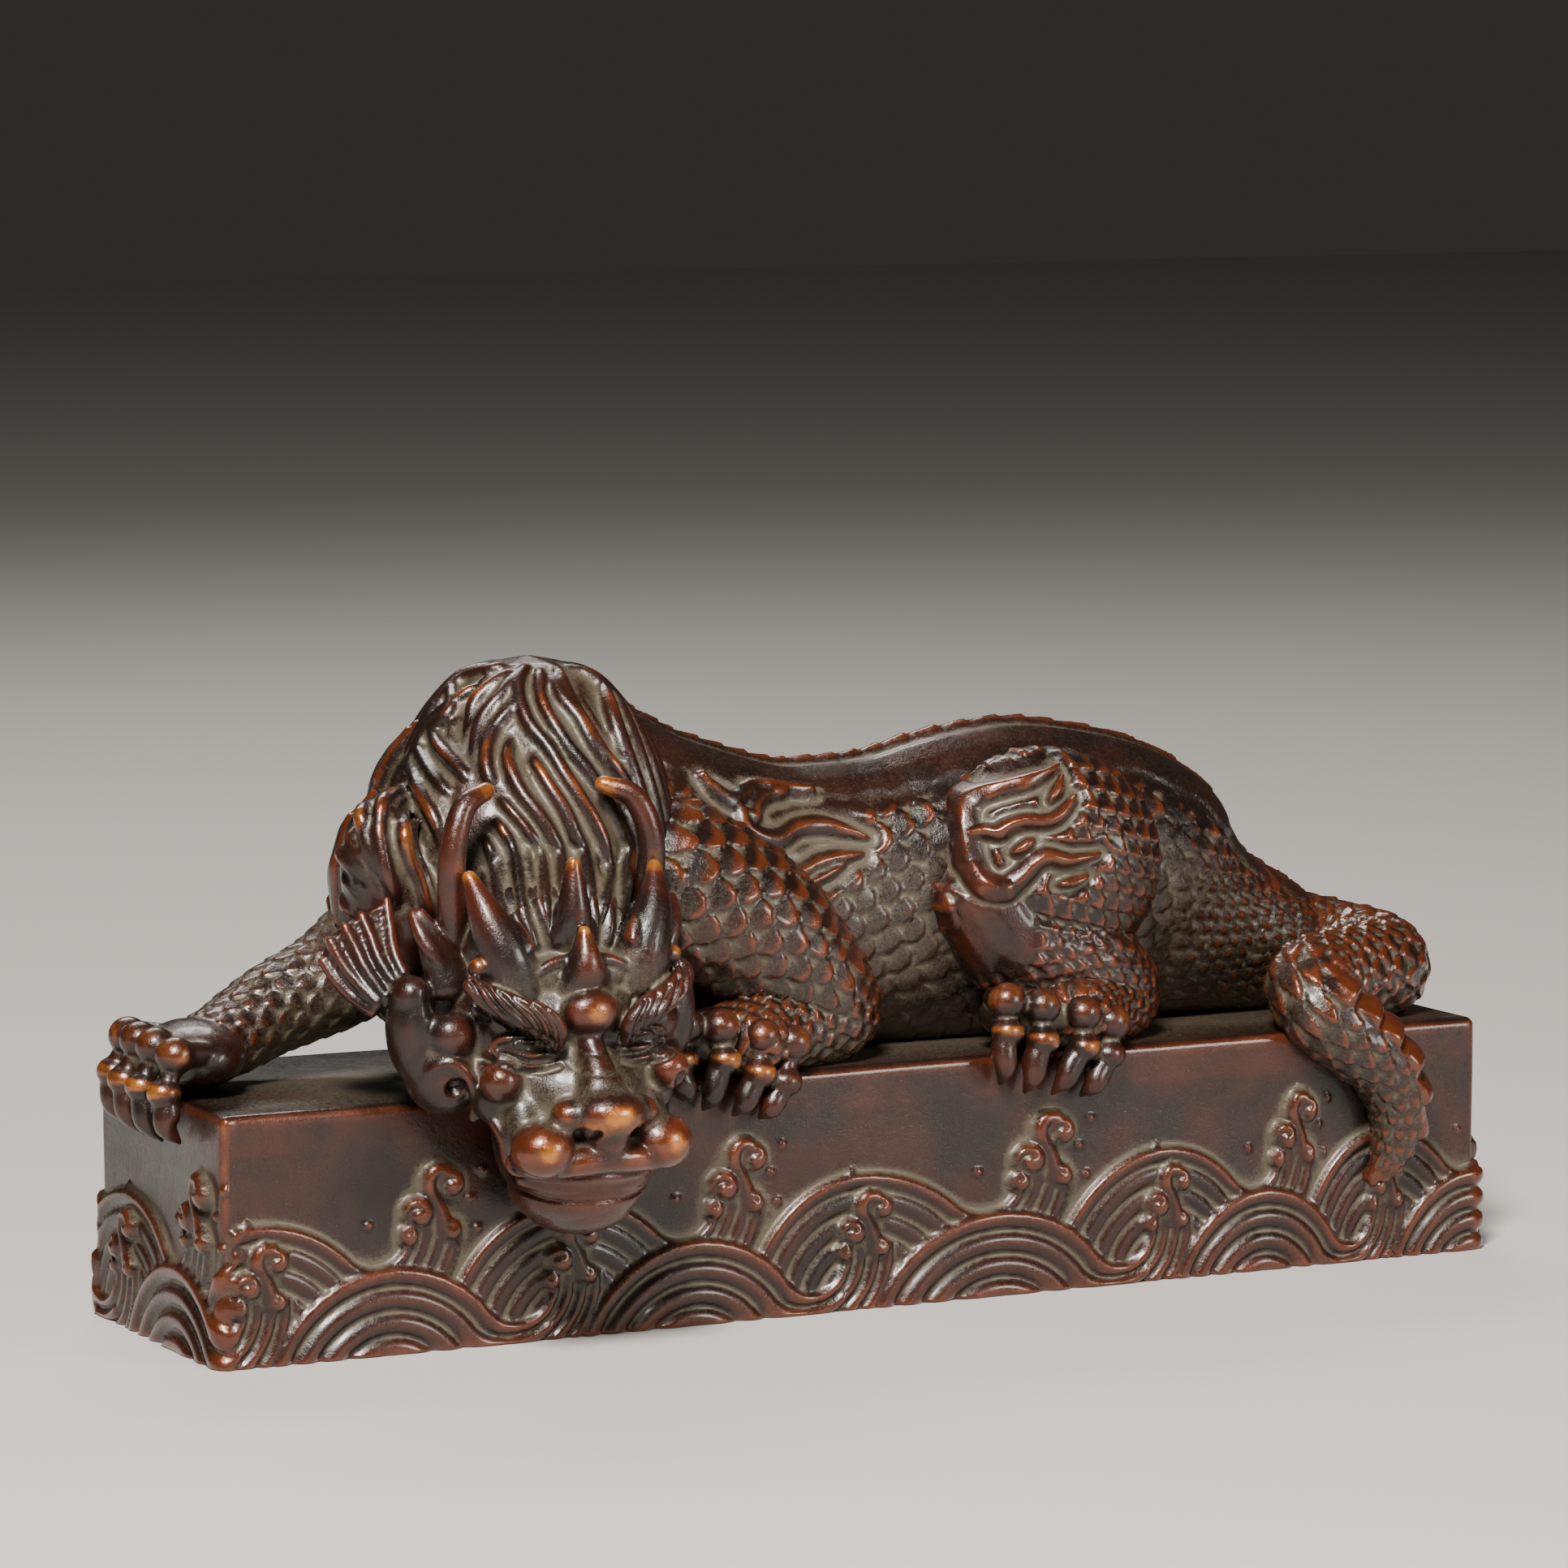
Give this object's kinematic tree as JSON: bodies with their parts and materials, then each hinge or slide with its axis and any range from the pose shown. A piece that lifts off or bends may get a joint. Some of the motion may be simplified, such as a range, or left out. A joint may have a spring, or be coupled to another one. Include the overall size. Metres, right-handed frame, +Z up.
{
  "type": "copper guardian beast statue",
  "caption": "Crouching scaled and horned guardian beast of brown copper, gripping the edges of a long low plinth carved with waves.",
  "frame": {"origin": "middle of the plinth's flat underside", "axes": "+X along the plinth towards the tail, -Y towards the front, where the head hangs over the edge, +Z up"},
  "size_m": [0.2083, 0.0767, 0.0934],
  "materials": {
    "patinated_copper": "cast copper with a waxed brown-black patina, worn to red copper on the raised carving and dulled by dust in the hollows"
  },
  "bodies": {
    "root": {"guardian_beast_on_plinth": "patinated_copper"}
  },
  "joints": []
}
